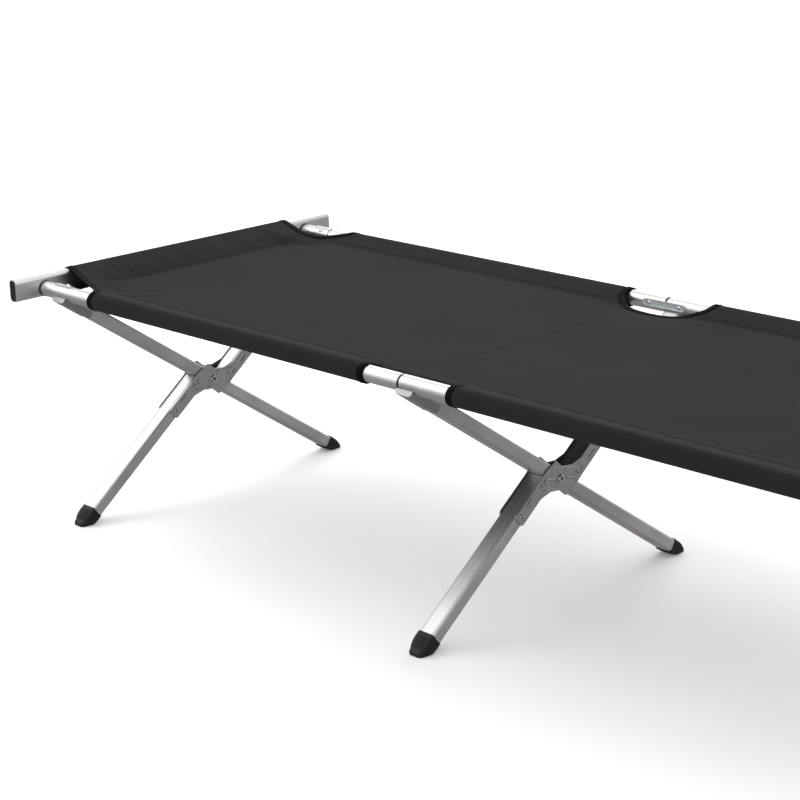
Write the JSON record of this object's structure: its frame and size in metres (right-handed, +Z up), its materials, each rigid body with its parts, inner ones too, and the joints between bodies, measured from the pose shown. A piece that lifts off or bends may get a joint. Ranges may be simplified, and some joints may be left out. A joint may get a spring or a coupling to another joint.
{
  "type": "folding cot",
  "caption": "Folding camp cot: fabric sling stretched on two jointed aluminium rails and slip-on end bars, over crossing scissor legs with plastic feet.",
  "frame": {"origin": "on the floor under the middle of the cot", "axes": "+X from the head end to the foot end, -Y the near side rail, +Z up"},
  "size_m": [1.9, 0.74, 0.459],
  "materials": {
    "aluminium": "satin anodised",
    "galvanised_steel": "zinc plated",
    "rivets": "satin",
    "black_plastic": "moulded, lightly grained",
    "sling_fabric": "plain woven polyester"
  },
  "bodies": {
    "near_frame": {"near_rail_head": "aluminium", "near_rail_foot": "aluminium", "near_seam_plugs": "black_plastic", "near_seam_link": "galvanised_steel", "near_link_rivets": "rivets", "near_end_plug_head": "black_plastic", "near_end_plug_foot": "black_plastic", "near_saddle_head": "galvanised_steel", "near_saddle_foot": "galvanised_steel", "near_shoe_head": "galvanised_steel", "near_shoe_mid": "galvanised_steel", "near_shoe_foot": "galvanised_steel", "near_shoe_rivets": "rivets", "near_swing_rivets": "rivets", "cross_leg_head": "aluminium", "cross_leg_mid": "aluminium", "cross_leg_foot": "aluminium", "far_foot_cap_head": "black_plastic", "far_foot_cap_mid": "black_plastic", "far_foot_cap_foot": "black_plastic", "pivot_rivets": "rivets", "sling": "sling_fabric"},
    "far_frame": {"far_rail_head": "aluminium", "far_rail_foot": "aluminium", "far_seam_plugs": "black_plastic", "far_seam_link": "galvanised_steel", "far_link_rivets": "rivets", "far_end_plug_head": "black_plastic", "far_end_plug_foot": "black_plastic", "far_saddle_head": "galvanised_steel", "far_saddle_foot": "galvanised_steel", "upper_leg_head": "aluminium", "upper_leg_mid": "aluminium", "upper_leg_foot": "aluminium", "lower_leg_head": "aluminium", "lower_leg_mid": "aluminium", "lower_leg_foot": "aluminium", "knee_plates_head": "galvanised_steel", "knee_plates_mid": "galvanised_steel", "knee_plates_foot": "galvanised_steel", "knee_rivets": "rivets", "far_shoe_head": "galvanised_steel", "far_shoe_mid": "galvanised_steel", "far_shoe_foot": "galvanised_steel", "far_shoe_rivets": "rivets", "far_swing_rivets": "rivets", "near_foot_cap_head": "black_plastic", "near_foot_cap_mid": "black_plastic", "near_foot_cap_foot": "black_plastic"},
    "head_bar": {"head_bar": "aluminium", "head_bar_caps": "black_plastic"},
    "foot_bar": {"foot_bar": "aluminium", "foot_bar_caps": "black_plastic"}
  },
  "joints": [
    {"name": "leg_scissor", "type": "hinge", "parent": "near_frame", "child": "far_frame", "pos_m": [0, 0, 0.213], "axis": [1, 0, 0], "range_deg": [0, 103], "deforming": ["sling"]},
    {"name": "head_bar_pull", "type": "slide", "parent": "near_frame", "child": "head_bar", "axis": [-1, 0, 0], "range_m": [0, 0.22]},
    {"name": "foot_bar_pull", "type": "slide", "parent": "near_frame", "child": "foot_bar", "axis": [1, 0, 0], "range_m": [0, 0.22]}
  ],
  "couplings": [
    {"joint": "head_bar_pull", "follows": "leg_scissor", "m_per_rad": 0.12},
    {"joint": "foot_bar_pull", "follows": "leg_scissor", "m_per_rad": 0.12}
  ]
}
